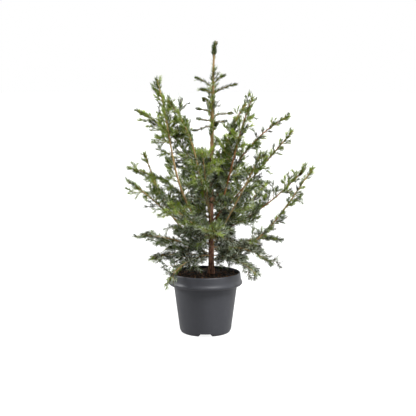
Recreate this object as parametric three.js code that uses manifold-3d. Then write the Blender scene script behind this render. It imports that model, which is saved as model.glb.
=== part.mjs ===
// A young Serbian spruce in a round nursery pot, as separate solids.
// Millimetres, +Z up, +X to the right, +Y away from the viewer.
// The origin is the centre of the pot's underside.
import * as THREE from 'three';
import { mergeVertices } from 'three/addons/utils/BufferGeometryUtils.js';
import Module from 'manifold-3d';

// Clearance between neighbouring pieces.
const GAP = 0.3;
// Facets smaller than this are smoothed away where pieces are fused.
const FINEST = 0.1;

// Pot: a moulded shell with a rolled collar, a centre pad and a foot ring that four drainage notches cross.
const POT = {
  rimHeight: 189,
  rimRadius: 108,
  collarHeight: 161,
  collarRadius: 115,
  shoulderHeight: 153,
  shoulderRadius: 99.5,
  footRadius: 79,
  footRounding: 13,
  footRing: 60,
  padRadius: 40,
  channelHeight: 10,
  channelSlope: 3,
  wall: 2.2,
  sides: 36,
  curveSteps: 4,
};
const NOTCH = { count: 4, width: 44, topWidth: 31, height: 9, inner: 50, outer: 90 };

// Potting soil, which fills the pot to just under its rim.
const SOIL_HEIGHT = 182;

// Trunk: it stands right of the pot's centre, leans a little and widens at the root.
const TRUNK = {
  foot: SOIL_HEIGHT + GAP,
  top: 866,
  footX: 18,
  sway: 4,
  lean: 12,
  flare: 2,
  flareHeight: 14,
  sides: 8,
  rings: 16,
  ringCrowding: 1.5,
};
// Height and radius, from the ground to the tip.
const TRUNK_RADII = [
  [182, 8.2],
  [350, 7.3],
  [560, 5.6],
  [700, 3.6],
  [800, 2.5],
  [866, 2],
];

// Limbs and stems: radius at the root for each millimetre of length, and radius at the tip.
const LIMB = { rootShare: 0.0065, tip: 1.4, sides: 5, rings: 5, pull: 0.36 };

// Main boughs: height on the trunk, bearing (0 right, 90 away, 180 left, 270 towards the viewer), how far out
// and how high the tip is, slopes in degrees at root and tip, and the share of the length below the foliage.
const BOUGHS = [
  { name: 'left_tall', from: 308, bearing: 197, reach: 171, top: 784, leave: 40, arrive: 72, bare: 0.32 },
  { name: 'left_inner', from: 360, bearing: 204, reach: 145, top: 722, leave: 70, arrive: 45, bare: 0.3 },
  { name: 'left_high', from: 430, bearing: 158, reach: 244, top: 681, leave: 58, arrive: 20, bare: 0.32 },
  { name: 'left_out', from: 276, bearing: 183, reach: 204, top: 560, leave: 14, arrive: 72, bare: 0.32 },
  { name: 'right_tall', from: 310, bearing: 334, reach: 138, top: 731, leave: 66, arrive: 66, bare: 0.3 },
  { name: 'right_inner', from: 440, bearing: 25, reach: 118, top: 707, leave: 66, arrive: 50, bare: 0.3 },
  { name: 'right_high', from: 400, bearing: 14, reach: 249, top: 670, leave: 58, arrive: 25, bare: 0.32 },
  { name: 'right_out', from: 345, bearing: 355, reach: 249, top: 627, leave: 45, arrive: 48, bare: 0.34 },
  { name: 'right_front', from: 265, bearing: 318, reach: 196, top: 568, leave: 55, arrive: 60, bare: 0.42 },
  { name: 'right_far', from: 302, bearing: 8, reach: 298, top: 512, leave: 22, arrive: 48, bare: 0.36 },
  { name: 'right_far_low', from: 225, bearing: 354, reach: 311, top: 515, leave: 8, arrive: 55, bare: 0.42 },
  { name: 'back_left_tall', from: 360, bearing: 120, reach: 170, top: 655, leave: 58, arrive: 50, bare: 0.3 },
  { name: 'back_right_tall', from: 380, bearing: 66, reach: 185, top: 635, leave: 55, arrive: 45, bare: 0.3 },
  { name: 'back_left', from: 290, bearing: 136, reach: 255, top: 440, leave: 25, arrive: 32, bare: 0.3 },
  { name: 'back_right', from: 286, bearing: 44, reach: 255, top: 450, leave: 25, arrive: 32, bare: 0.3 },
];

// Smaller boughs, needled almost from the trunk, so each is one mass of foliage.
const TRUNK_MASSES = [
  { name: 'left_wide', from: 350, bearing: 165, reach: 269, top: 507, leave: 45, arrive: 10 },
  { name: 'left_mid', from: 291, bearing: 192, reach: 245, top: 472, leave: 22, arrive: 38 },
  { name: 'left_low', from: 258, bearing: 182, reach: 212, top: 304, leave: 14, arrive: 0 },
  { name: 'left_skirt', from: 240, bearing: 175, reach: 185, top: 231, leave: 5, arrive: -14 },
  { name: 'left_front_skirt', from: 240, bearing: 220, reach: 165, top: 184, leave: 10, arrive: -48 },
  { name: 'right_low', from: 255, bearing: 12, reach: 208, top: 287, leave: 12, arrive: -8 },
  { name: 'right_skirt', from: 265, bearing: 342, reach: 190, top: 223, leave: 10, arrive: -45 },
  { name: 'right_front_skirt', from: 240, bearing: 322, reach: 173, top: 199, leave: 8, arrive: -38 },
  { name: 'front_steep', from: 345, bearing: 258, reach: 128, top: 568, leave: 52, arrive: 58 },
  { name: 'front_mid', from: 285, bearing: 272, reach: 215, top: 350, leave: 25, arrive: 12 },
  { name: 'front_left', from: 300, bearing: 236, reach: 215, top: 425, leave: 28, arrive: 36 },
  { name: 'back_mid', from: 330, bearing: 92, reach: 262, top: 500, leave: 30, arrive: 38 },
  { name: 'back_low', from: 262, bearing: 88, reach: 235, top: 305, leave: 12, arrive: 2 },
  { name: 'back_left_skirt', from: 245, bearing: 132, reach: 200, top: 236, leave: 8, arrive: -16 },
  { name: 'back_right_skirt', from: 248, bearing: 45, reach: 200, top: 232, leave: 8, arrive: -16 },
];

// Short twigs of the leading shoot, each with a tuft of needles at its end.
const LEADER_TWIGS = [
  { from: 757, bearing: 160, reach: 56, top: 788 },
  { from: 739, bearing: 348, reach: 72, top: 768 },
  { from: 768, bearing: 40, reach: 46, top: 795 },
  { from: 736, bearing: 215, reach: 45, top: 754 },
  { from: 716, bearing: 92, reach: 52, top: 742 },
  { from: 690, bearing: 235, reach: 50, top: 727 },
  { from: 680, bearing: 168, reach: 50, top: 695 },
  { from: 668, bearing: 18, reach: 64, top: 681 },
  { from: 652, bearing: 204, reach: 50, top: 664 },
  { from: 645, bearing: 322, reach: 53, top: 658 },
  { from: 635, bearing: 148, reach: 74, top: 627 },
];
const LEADER_TWIG_SLOPES = { leave: 40, arrive: 15 };
const LEADER_TIP = { x: 33, z: 900, bend: 6 };

// Foliage habits. Twigs leave their stem in turn to either side, shorter towards its tip, and carry larger
// than life needles that stand for whole sprays.
const BOUGH_HABIT = {
  needleStep: 14,
  needle: 32,
  needlesFrom: 0.06,
  twigSpacing: 27,
  firstTwig: 12,
  lastTwig: 36,
  twig: 88,
  twigAtTip: 0.5,
  slopeAtRoot: 72,
  slopeAtTip: 44,
  droop: 0.1,
};
const INNER_HABIT = { ...BOUGH_HABIT, needle: 34, twigSpacing: 24, twig: 98 };
const LEADER_HABIT = {
  needleStep: 10,
  needle: 18,
  needlesFrom: 0.3,
  twigSpacing: 16,
  firstTwig: 30,
  lastTwig: 14,
  twig: 26,
  twigAtTip: 0.7,
  slopeAtRoot: 55,
  slopeAtTip: 45,
  droop: 0,
};
const TIP_HABIT = { ...LEADER_HABIT, needleStep: 6, needle: 13 };
const SHOOT = {
  sides: 4,
  twigThick: 0.6,
  twigThin: 0.6,
  twigNeedlesFrom: 0.2,
  needleSlopeAtRoot: 44,
  needleSlopeAtTip: 22,
  needleVariety: 0.3,
  pastTip: 1.15,
  fewestRings: 3,
};
// A twig is tried at these shares of its length, and rolls this far, in degrees, out of its spray's plane.
const TWIG_TRIES = [1, 0.75, 0.5];
const TWIG_VARIETY = 0.25;
const LEVEL_ROLL = 28;
const STEEP_ROLL = 90;

// Room kept between masses and round trunk, limbs and pot. A path is measured from points this far apart, and
// a twig's first points lie in its stem.
const SPACE_MARGIN = 2;
const CLEARANCE = 1.5;
const SAMPLE_STEP = 5;
const ROOT_SAMPLES = 2;
const SEED = 77;

const TAU = Math.PI * 2;
const UP = new THREE.Vector3(0, 0, 1);
const radians = THREE.MathUtils.degToRad;
const lerp = THREE.MathUtils.lerp;

const wasm = await Module();
wasm.setup();

const PLASTIC = new THREE.MeshStandardMaterial({ color: 0x47484c, roughness: 0.55, metalness: 0 });
const SOIL = new THREE.MeshStandardMaterial({ color: 0x2a231c, roughness: 1, metalness: 0 });
const BARK = new THREE.MeshStandardMaterial({ color: 0x6b523a, roughness: 0.9, metalness: 0 });
const NEEDLES = new THREE.MeshStandardMaterial({ color: 0x555c3d, roughness: 0.7, metalness: 0 });

// A repeatable stream of numbers from 0 to 1.
function seededRandom(seed) {
  let state = seed;
  return () => {
    state = (state + 0x6d2b79f5) | 0;
    let mixed = Math.imul(state ^ (state >>> 15), 1 | state);
    mixed = (mixed + Math.imul(mixed ^ (mixed >>> 7), 61 | mixed)) ^ mixed;
    return ((mixed ^ (mixed >>> 14)) >>> 0) / 2 ** 32;
  };
}

// A factor that lies within a share of 1.
function varied(share, random) {
  return 1 + share * (2 * random() - 1);
}

// A closed geometry as a solid that can be joined and cut.
function solidFrom(geometry) {
  geometry.deleteAttribute('normal');
  geometry.deleteAttribute('uv');
  const merged = mergeVertices(geometry);
  const corners = merged.attributes.position.array;
  const triangles = new Uint32Array(merged.index.array);
  return new wasm.Manifold(new wasm.Mesh({ numProp: 3, vertProperties: corners, triVerts: triangles }));
}

// The one outer body of a solid: loose scraps are dropped and sealed hollows filled.
function mainBody(solid) {
  const bodies = solid.simplify(FINEST).decompose();
  return bodies.reduce((best, body) => (body.volume() > best.volume() ? body : best));
}

function meshFrom(name, solid, material) {
  const { vertProperties, triVerts } = solid.getMesh();
  const geometry = new THREE.BufferGeometry();
  geometry.setAttribute('position', new THREE.BufferAttribute(vertProperties, 3));
  geometry.setIndex(new THREE.BufferAttribute(triVerts, 1));
  geometry.computeVertexNormals();
  const mesh = new THREE.Mesh(geometry, material);
  mesh.name = name;
  return mesh;
}

// The pot's inner face from the rim down to the centre of its floor, drawn in by a clearance.
function innerFace(topHeight, clearance) {
  const rise = (topHeight - POT.collarHeight) / (POT.rimHeight - POT.collarHeight);
  const topRadius = lerp(POT.collarRadius, POT.rimRadius, rise);
  const floor = POT.channelHeight + POT.wall;
  const inset = POT.wall + clearance;
  return [
    new THREE.Vector2(topRadius - inset, topHeight),
    new THREE.Vector2(POT.collarRadius - inset, POT.collarHeight),
    new THREE.Vector2(POT.shoulderRadius - inset, POT.shoulderHeight + inset),
    new THREE.Vector2(POT.footRadius - inset, floor + clearance),
    new THREE.Vector2(POT.padRadius + POT.channelSlope - inset, floor + clearance),
    new THREE.Vector2(POT.padRadius - inset, inset),
    new THREE.Vector2(0, inset),
  ];
}

function turned(profile) {
  return solidFrom(new THREE.LatheGeometry(profile, POT.sides).rotateX(Math.PI / 2));
}

function potSolid() {
  const outer = new THREE.Path();
  outer.moveTo(0, 0);
  outer.lineTo(POT.padRadius, 0);
  outer.lineTo(POT.padRadius + POT.channelSlope, POT.channelHeight);
  outer.lineTo(POT.footRing - POT.channelSlope, POT.channelHeight);
  outer.lineTo(POT.footRing, 0);
  outer.lineTo(POT.footRadius - POT.footRounding, 0);
  outer.quadraticCurveTo(POT.footRadius, 0, POT.footRadius, POT.footRounding);
  outer.lineTo(POT.shoulderRadius, POT.shoulderHeight);
  outer.quadraticCurveTo(POT.collarRadius, POT.shoulderHeight, POT.collarRadius, POT.collarHeight);
  outer.lineTo(POT.rimRadius, POT.rimHeight);
  const profile = outer.getPoints(POT.curveSteps).concat(innerFace(POT.rimHeight, 0));
  let pot = turned(profile);
  const half = NOTCH.width / 2;
  const flank = (NOTCH.width - NOTCH.topWidth) / 2;
  const opening = new THREE.Shape();
  opening.moveTo(-half - flank, -NOTCH.height);
  opening.lineTo(half + flank, -NOTCH.height);
  opening.lineTo(NOTCH.topWidth / 2, NOTCH.height);
  opening.lineTo(-NOTCH.topWidth / 2, NOTCH.height);
  opening.closePath();
  const depth = NOTCH.outer - NOTCH.inner;
  for (let i = 0; i < NOTCH.count; i++) {
    const notch = new THREE.ExtrudeGeometry(opening, { depth, bevelEnabled: false });
    notch.rotateX(Math.PI / 2).translate(0, -NOTCH.inner, 0).rotateZ((i * TAU) / NOTCH.count);
    pot = pot.subtract(solidFrom(notch));
  }
  return pot;
}

function soilSolid() {
  return turned([...innerFace(SOIL_HEIGHT, GAP).reverse(), new THREE.Vector2(0, SOIL_HEIGHT)]);
}

// The trunk's centre line and radius at a height.
function trunkAxis(z) {
  const share = (z - SOIL_HEIGHT) / (TRUNK.top - SOIL_HEIGHT);
  return new THREE.Vector3(TRUNK.footX - TRUNK.sway * share + TRUNK.lean * share * share, 0, z);
}

function trunkRadius(z) {
  const above = Math.max(TRUNK_RADII.findIndex(([height]) => height >= z), 1);
  const [[low, wide], [high, slim]] = TRUNK_RADII.slice(above - 1, above + 1);
  const flare = TRUNK.flare * Math.exp((TRUNK.foot - z) / TRUNK.flareHeight);
  return THREE.MathUtils.mapLinear(z, low, high, wide, slim) + flare;
}

function trunkSolid(clearance) {
  const geometry = new THREE.CylinderGeometry(1, 1, 1, TRUNK.sides, TRUNK.rings);
  const corner = geometry.attributes.position;
  for (let i = 0; i < corner.count; i++) {
    const share = (corner.getY(i) + 0.5) ** TRUNK.ringCrowding;
    const z = lerp(TRUNK.foot, TRUNK.top, share);
    const reach = trunkRadius(z) + clearance;
    const centre = trunkAxis(z);
    corner.setXYZ(i, centre.x + reach * corner.getX(i), centre.y - reach * corner.getZ(i), z);
  }
  return solidFrom(geometry);
}

// A bough's path lies in one upright plane: it leaves the trunk at one slope and ends at another.
function boughPath({ from, bearing, reach, top, leave, arrive }) {
  const out = new THREE.Vector3(Math.cos(radians(bearing)), Math.sin(radians(bearing)), 0);
  const slope = (degrees) => out.clone().multiplyScalar(Math.cos(radians(degrees)))
    .addScaledVector(UP, Math.sin(radians(degrees)));
  const root = trunkAxis(from);
  const tip = root.clone().addScaledVector(out, reach).setZ(top);
  const pull = LIMB.pull * root.distanceTo(tip);
  const rising = root.clone().addScaledVector(slope(leave), pull);
  const ending = tip.clone().addScaledVector(slope(arrive), -pull);
  const curve = new THREE.CubicBezierCurve3(root, rising, ending, tip);
  return { curve, across: new THREE.Vector3(-out.y, out.x, 0), length: curve.getLength() };
}

function limbRadius(path, share) {
  return lerp(Math.max(LIMB.rootShare * path.length, LIMB.tip), LIMB.tip, share);
}

// The cross directions of a path at a share of its length.
function frameAt(path, share) {
  const tangent = path.curve.getTangentAt(share);
  const under = new THREE.Vector3().crossVectors(path.across, tangent).normalize();
  const beside = new THREE.Vector3().crossVectors(tangent, under);
  return { centre: path.curve.getPointAt(share), tangent, under, beside };
}

function limbSolid(path, end) {
  const geometry = new THREE.CylinderGeometry(1, 1, 1, LIMB.sides, LIMB.rings);
  const corner = geometry.attributes.position;
  for (let i = 0; i < corner.count; i++) {
    const share = (corner.getY(i) + 0.5) * end;
    const { centre, under, beside } = frameAt(path, share);
    const reach = limbRadius(path, share);
    centre.addScaledVector(beside, reach * corner.getX(i)).addScaledVector(under, reach * corner.getZ(i));
    corner.setXYZ(i, ...centre.toArray());
  }
  return solidFrom(geometry);
}

// A shoot is a slim core, pointed at its tip, with every other corner of its rings drawn out to a needle.
// The facets between are split along their bare corners, so each needle comes to a point of its own.
function needledShoot(path, start, end, thick, thin, needlesFrom, habit, holds, random) {
  const length = path.length * (end - start);
  const rings = Math.max(SHOOT.fewestRings, Math.round(length / habit.needleStep));
  const geometry = new THREE.ConeGeometry(1, 1, SHOOT.sides, rings);
  const corner = geometry.attributes.position;
  const needled = new Set();
  const lengths = Array.from({ length: rings * SHOOT.sides }, () => varied(SHOOT.needleVariety, random));
  for (let i = 0; i < corner.count; i++) {
    const share = corner.getY(i) + 0.5;
    const ring = Math.round(share * rings);
    const onAxis = Math.hypot(corner.getX(i), corner.getZ(i)) < Number.EPSILON;
    const angle = Math.atan2(corner.getX(i), corner.getZ(i));
    const side = Math.round((angle / TAU) * SHOOT.sides);
    const { centre, tangent, under, beside } = frameAt(path, lerp(start, end, share));
    const outward = beside.multiplyScalar(Math.sin(angle)).addScaledVector(under, Math.cos(angle));
    if (!onAxis) centre.addScaledVector(outward, lerp(thick, thin, share));
    if (!onAxis && ring > 0 && share >= needlesFrom && (ring + side) % 2 === 0) {
      const slope = radians(lerp(SHOOT.needleSlopeAtRoot, SHOOT.needleSlopeAtTip, share));
      const uneven = lengths[ring * SHOOT.sides + ((side + SHOOT.sides) % SHOOT.sides)];
      const needle = Math.min(habit.needle * uneven, SHOOT.pastTip * length * (1 - share));
      const point = centre.clone().addScaledVector(outward, needle * Math.sin(slope))
        .addScaledVector(tangent, needle * Math.cos(slope));
      if (holds(point)) {
        centre.copy(point);
        needled.add(i);
      }
    }
    corner.setXYZ(i, ...centre.toArray());
  }
  const index = geometry.index.array;
  for (let i = 0; i + 5 < index.length; i += 3) {
    const [a, b, d, next, c, last] = index.subarray(i, i + 6);
    if (b === next && d === last && (needled.has(b) || needled.has(d))) index.set([a, b, c, a, c, d], i);
  }
  return solidFrom(geometry);
}

// A straight twig with a sagging or rising end.
function twigPath(root, direction, length, droop, across) {
  const middle = root.clone().addScaledVector(direction, length / 2);
  const tip = root.clone().addScaledVector(direction, length).addScaledVector(UP, -droop * length);
  const curve = new THREE.QuadraticBezierCurve3(root, middle, tip);
  return { curve, across, length: curve.getLength() };
}

// Points along a path, close enough together to take distances from.
function samplesOf(path) {
  return path.curve.getSpacedPoints(Math.ceil(path.length / SAMPLE_STEP));
}

function nearest(points, point) {
  const squares = points.map((other) => other.distanceToSquared(point));
  return Math.sqrt(Math.min(...squares));
}

function clearOfTrunk(point) {
  const z = THREE.MathUtils.clamp(point.z, TRUNK.foot, TRUNK.top);
  return trunkAxis(z).distanceTo(point) > trunkRadius(z) + CLEARANCE;
}

function clearOfPot(point) {
  const overPot = Math.hypot(point.x, point.y) < POT.collarRadius + CLEARANCE;
  return !overPot || point.z > POT.rimHeight + CLEARANCE;
}

// A mass keeps to the points that are nearer its own path than any other, clear of limbs, trunk and pot.
function spaceOf(own, all) {
  const others = all.filter((piece) => piece !== own);
  const limb = own.samples.filter((_, i) => i * SAMPLE_STEP < own.bare * own.path.length);
  const limbReach = limbRadius(own.path, 0) + CLEARANCE;
  return (point) => {
    if (!clearOfTrunk(point) || !clearOfPot(point)) return false;
    if (limb.length && nearest(limb, point) < limbReach) return false;
    const room = nearest(own.samples, point) + SPACE_MARGIN;
    return others.every((piece) => nearest(piece.samples, point) > room);
  };
}

// Twigs branch from the stem to either side. One that would leave the mass's space is shortened or left out.
function massSolid(own, start, holds, random) {
  const { path, habit } = own;
  const stemLength = path.length * (1 - start);
  const thick = limbRadius(path, start);
  const parts = [needledShoot(path, start, 1, thick, LIMB.tip, habit.needlesFrom, habit, holds, random)];
  let side = random() < 0.5 ? 1 : -1;
  for (let along = habit.firstTwig; along < stemLength - habit.lastTwig; along += habit.twigSpacing) {
    const share = along / stemLength;
    const { centre, tangent, under, beside } = frameAt(path, start + share * (1 - start));
    const roll = radians(lerp(LEVEL_ROLL, STEEP_ROLL, Math.abs(tangent.z)) * (2 * random() - 1));
    const outward = beside.multiplyScalar(side * Math.cos(roll)).addScaledVector(under, Math.sin(roll));
    const slope = radians(lerp(habit.slopeAtRoot, habit.slopeAtTip, share));
    const direction = outward.clone().multiplyScalar(Math.sin(slope));
    direction.addScaledVector(tangent, Math.cos(slope));
    const full = habit.twig * lerp(1, habit.twigAtTip, share) * varied(TWIG_VARIETY, random);
    const across = new THREE.Vector3().crossVectors(tangent, outward);
    const twig = TWIG_TRIES.map((cut) => twigPath(centre, direction, full * cut, habit.droop, across))
      .find((tried) => samplesOf(tried).slice(ROOT_SAMPLES).every(holds));
    if (twig) {
      const { twigThick, twigThin, twigNeedlesFrom } = SHOOT;
      parts.push(needledShoot(twig, 0, 1, twigThick, twigThin, twigNeedlesFrom, habit, holds, random));
    }
    side = -side;
  }
  return mainBody(wasm.Manifold.union(parts));
}

// Every path of the crown, so that each mass knows its neighbours.
const crown = [
  ...BOUGHS.map((row) => ({ ...row, habit: BOUGH_HABIT })),
  ...TRUNK_MASSES.map((row) => ({ ...row, bare: 0, habit: INNER_HABIT })),
  ...LEADER_TWIGS.map((row, i) => ({
    ...row, ...LEADER_TWIG_SLOPES, name: `leader_twig_${i + 1}`, bare: 0, habit: LEADER_HABIT,
  })),
];
for (const piece of crown) {
  piece.path = boughPath(piece);
  piece.samples = samplesOf(piece.path);
}

// The leading shoot's own tip goes on from the end of the trunk.
const trunkEnd = trunkAxis(TRUNK.top + GAP);
const leaderEnd = new THREE.Vector3(LEADER_TIP.x, 0, LEADER_TIP.z);
const leaderMiddle = trunkEnd.clone().lerp(leaderEnd, 0.5).setX(leaderEnd.x - LEADER_TIP.bend);
const leaderCurve = new THREE.QuadraticBezierCurve3(trunkEnd, leaderMiddle, leaderEnd);
const leader = { curve: leaderCurve, across: new THREE.Vector3(0, 1, 0), length: leaderCurve.getLength() };

const plant = new THREE.Group();
const random = seededRandom(SEED);
plant.add(meshFrom('pot', potSolid(), PLASTIC));
plant.add(meshFrom('soil', soilSolid(), SOIL));
plant.add(meshFrom('trunk', trunkSolid(0), BARK));
const trunkClear = trunkSolid(GAP);
const leaderThick = trunkRadius(TRUNK.top);
const leaderTip = needledShoot(leader, 0, 1, leaderThick, LIMB.tip, 0, TIP_HABIT, () => true, random);
plant.add(meshFrom('mass_leader_tip', leaderTip, NEEDLES));
for (const own of crown) {
  const holds = spaceOf(own, crown);
  if (own.bare > 0) {
    const limb = limbSolid(own.path, own.bare).subtract(trunkClear);
    plant.add(meshFrom(`bough_${own.name}`, mainBody(limb), BARK));
    const start = own.bare + GAP / own.path.length;
    plant.add(meshFrom(`mass_${own.name}`, massSolid(own, start, holds, random), NEEDLES));
  } else {
    const mass = massSolid(own, 0, holds, random).subtract(trunkClear);
    plant.add(meshFrom(`mass_${own.name}`, mainBody(mass), NEEDLES));
  }
}

export default plant;
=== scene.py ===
"""Looks of a young Serbian spruce in its moulded nursery pot, in metres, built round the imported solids."""
import math
from functools import partial
from typing import NamedTuple

import bpy
import numpy as np
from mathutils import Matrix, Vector, noise
from mathutils.kdtree import KDTree


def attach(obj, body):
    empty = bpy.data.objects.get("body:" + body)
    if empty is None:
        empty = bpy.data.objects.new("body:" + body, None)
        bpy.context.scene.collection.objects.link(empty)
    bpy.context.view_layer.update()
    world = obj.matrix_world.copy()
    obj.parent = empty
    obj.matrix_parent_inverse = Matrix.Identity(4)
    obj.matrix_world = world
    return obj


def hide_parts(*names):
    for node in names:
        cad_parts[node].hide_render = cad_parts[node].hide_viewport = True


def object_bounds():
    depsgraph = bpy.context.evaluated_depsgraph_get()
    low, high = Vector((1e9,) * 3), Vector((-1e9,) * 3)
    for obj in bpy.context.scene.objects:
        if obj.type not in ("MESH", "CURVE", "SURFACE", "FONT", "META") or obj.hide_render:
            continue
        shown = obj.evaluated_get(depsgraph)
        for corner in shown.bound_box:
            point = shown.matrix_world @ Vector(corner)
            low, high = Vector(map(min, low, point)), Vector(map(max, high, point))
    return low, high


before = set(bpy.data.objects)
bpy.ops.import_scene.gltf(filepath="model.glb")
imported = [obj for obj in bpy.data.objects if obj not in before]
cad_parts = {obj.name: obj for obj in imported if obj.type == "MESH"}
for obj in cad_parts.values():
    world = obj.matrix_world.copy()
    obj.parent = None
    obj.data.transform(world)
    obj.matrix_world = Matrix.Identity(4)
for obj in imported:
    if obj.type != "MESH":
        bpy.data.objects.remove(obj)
cad_low, cad_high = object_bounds()

MM = 0.001
SEED = 1
UP = np.array((0.0, 0.0, 1.0))
EVEN = (1, 1, 1)

# The pot's profile: radius, height and rounding of each corner, from the centre of the underside outwards,
# up over the lip and down the inside.
POT_PROFILE = np.array([
    (0, 0, 0),
    (40, 0, 1.5),
    (43, 10, 2),
    (57, 10, 2),
    (60, 0, 1.5),
    (79, 0, 13),
    (99.2, 151, 1),
    (112, 151, 3),
    (116.4, 157.5, 4),
    (110.6, 167, 5),
    (109, 186, 1.5),
    (107.2, 189, 1.1),
    (104.8, 189, 1.1),
    (107.6, 168, 5),
    (111.5, 159.5, 4),
    (97, 153.2, 3),
    (76.8, 12.2, 4),
    (0, 12.2, 0),
]) * MM
POT_SIDES = 160
POT_ARC_STEPS = 6
POT_SHARP_ANGLE = 40
POT_RIM_HEIGHT = 189 * MM
POT_COLLAR_RADIUS = 115 * MM
POT_NOTCHES = 4
NOTCH_HALF_WIDTH = 22 * MM
NOTCH_HALF_TOP = 15.5 * MM
NOTCH_HEIGHT = 9 * MM
NOTCH_INNER = 50 * MM

# Soil: the compost's uneven top, with its mound at the trunk, and the bed's depth and narrower underside.
SOIL_HEIGHT = 182 * MM
SOIL_RADIUS = 106.8 * MM
SOIL_DEPTH = 25 * MM
SOIL_FOOT_SHARE = 0.9
SOIL_MOUND = 4 * MM
SOIL_MOUND_WIDTH = 30 * MM
SOIL_RELIEF = 3 * MM
CLOD_SIZE = 28 * MM
CLOD_SHARE = 0.6
LUMP_SIZE = 9 * MM
SOIL_RINGS = 40
SOIL_SIDES = 120
SOIL_SHARP_ANGLE = 180
# What lies on it: number to a square metre, smallest and largest size, and the share of it each way.
CRUMBS = {
    "compost_crumbs": {
        "Density": 36000.0, "Smallest": 1.5 * MM, "Largest": 5 * MM, "Shape": (1.0, 0.8, 0.6),
    },
    "bark_shreds": {
        "Density": 9000.0, "Smallest": 4 * MM, "Largest": 13 * MM, "Shape": (1.0, 0.4, 0.2),
    },
}
CRUMB_TILT = 0.7
LEVEL_ENOUGH = 0.5

# Trunk: sway, lean and root flare, and height and radius from the ground to the base of the leader's tip.
TRUNK_FOOT = SOIL_HEIGHT + 0.3 * MM
TRUNK_TOP = 866 * MM
TRUNK_FOOT_X = 18 * MM
TRUNK_SWAY = 4 * MM
TRUNK_LEAN = 12 * MM
TRUNK_FLARE = 3.5 * MM
TRUNK_FLARE_HEIGHT = 14 * MM
TRUNK_RADII = np.array([
    (182, 9.2),
    (350, 7.7),
    (560, 5.6),
    (640, 5),
    (700, 4.5),
    (760, 4),
    (800, 3.4),
    (866, 2.6),
]) * MM
# The flare's rings lie closer than the rings above it.
FLARE_RINGS = 20
FLARE_TOP = 230 * MM
STEM_RINGS = 90
STEM_FOOT = 232 * MM
# Between these heights the old red-brown bark gives way to the young tan one.
OLD_BARK_TOP = 420 * MM
YOUNG_BARK_FOOT = 660 * MM

# Limbs: radius at the root as a share of the length, radius at the tip, and how far the path's slopes carry.
LIMB_ROOT_SHARE = 0.0072
LIMB_TIP = 1.6 * MM
LIMB_PULL = 0.36
LIMB_STEP = 8 * MM
# Every path is a curve through many points, cut into even steps.
CURVE_POINTS = 60
LEAST_POINTS = 4


class Bough(NamedTuple):
    """Height on the trunk in mm, bearing (0 right, 90 away, 180 left, 270 to the front), how far out and how
    high the tip is in mm, slopes in degrees at root and tip, the share of the length that is a bare limb,
    and how long its twigs are for its kind."""
    name: str
    height: float
    bearing: float
    reach: float
    top: float
    leave: float
    arrive: float
    bare: float
    full: float = 1.0


MAIN_BOUGHS = [
    Bough("left_tall", 308, 197, 171, 784, 40, 72, 0.32, 1.3),
    Bough("left_inner", 360, 204, 145, 722, 70, 45, 0.3, 1.5),
    Bough("left_high", 430, 158, 244, 681, 58, 20, 0.32, 1.3),
    Bough("left_out", 276, 183, 204, 560, 14, 72, 0.32),
    Bough("right_tall", 310, 334, 138, 731, 66, 66, 0.3),
    Bough("right_inner", 440, 25, 118, 707, 66, 50, 0.3),
    Bough("right_high", 400, 14, 249, 670, 58, 25, 0.32, 0.72),
    Bough("right_out", 345, 355, 249, 627, 45, 48, 0.34, 0.72),
    Bough("right_front", 265, 318, 196, 568, 55, 60, 0.42),
    Bough("right_far", 302, 8, 298, 512, 22, 48, 0.36, 1.05),
    Bough("right_far_low", 225, 354, 311, 515, 8, 55, 0.42, 0.65),
    Bough("back_left_tall", 360, 120, 170, 655, 58, 50, 0.3),
    Bough("back_right_tall", 380, 66, 185, 635, 55, 45, 0.3),
    Bough("back_left", 290, 136, 255, 440, 25, 32, 0.3),
    Bough("back_right", 286, 44, 255, 450, 25, 32, 0.3),
]
INNER_BOUGHS = [
    Bough("left_wide", 350, 165, 269, 507, 45, 10, 0, 0.75),
    Bough("left_mid", 291, 192, 245, 472, 22, 38, 0, 0.75),
    Bough("left_low", 258, 182, 212, 304, 14, 0, 0),
    Bough("left_skirt", 240, 175, 185, 231, 5, -14, 0),
    Bough("left_front_skirt", 240, 220, 165, 184, 10, -48, 0),
    Bough("right_low", 255, 12, 208, 287, 12, -8, 0),
    Bough("right_skirt", 265, 342, 190, 223, 10, -45, 0, 0.75),
    Bough("right_front_skirt", 240, 322, 173, 199, 8, -38, 0, 0.85),
    Bough("front_steep", 345, 258, 128, 568, 52, 58, 0),
    Bough("front_mid", 285, 272, 215, 350, 25, 12, 0),
    Bough("front_left", 300, 236, 215, 425, 28, 36, 0),
    Bough("back_mid", 330, 92, 262, 500, 30, 38, 0),
    Bough("back_low", 262, 88, 235, 305, 12, 2, 0),
    Bough("back_left_skirt", 245, 132, 200, 236, 8, -16, 0),
    Bough("back_right_skirt", 248, 45, 200, 232, 8, -16, 0),
]
# Boughs whose bark has turned red-brown, and the tones of that bark and of the tan one.
RED_BOUGHS = (
    "right_tall", "right_inner", "right_high", "right_out", "right_far", "back_right_tall", "back_left",
)
LIMB_BARKS = {"red": ("#6c4426", "#9c6840", "#ba8a5c"), "tan": ("#86693c", "#b49462", "#d0b684")}
# Tubes of bark: length of a step, sides, relief as a share of the radius, and bumps to the metre.
TRUNK_SKIN = {"Step": 2.5 * MM, "Sides": 28, "Relief": 0.5, "Grain": 1 / (7 * MM)}
BOUGH_SKIN = {"Step": 3 * MM, "Sides": 8, "Relief": 0.5, "Grain": 1 / (4 * MM)}
TWIG_SKIN = {"Step": 9 * MM, "Sides": 3, "Relief": 0.3, "Grain": 1 / (3 * MM)}
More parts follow.
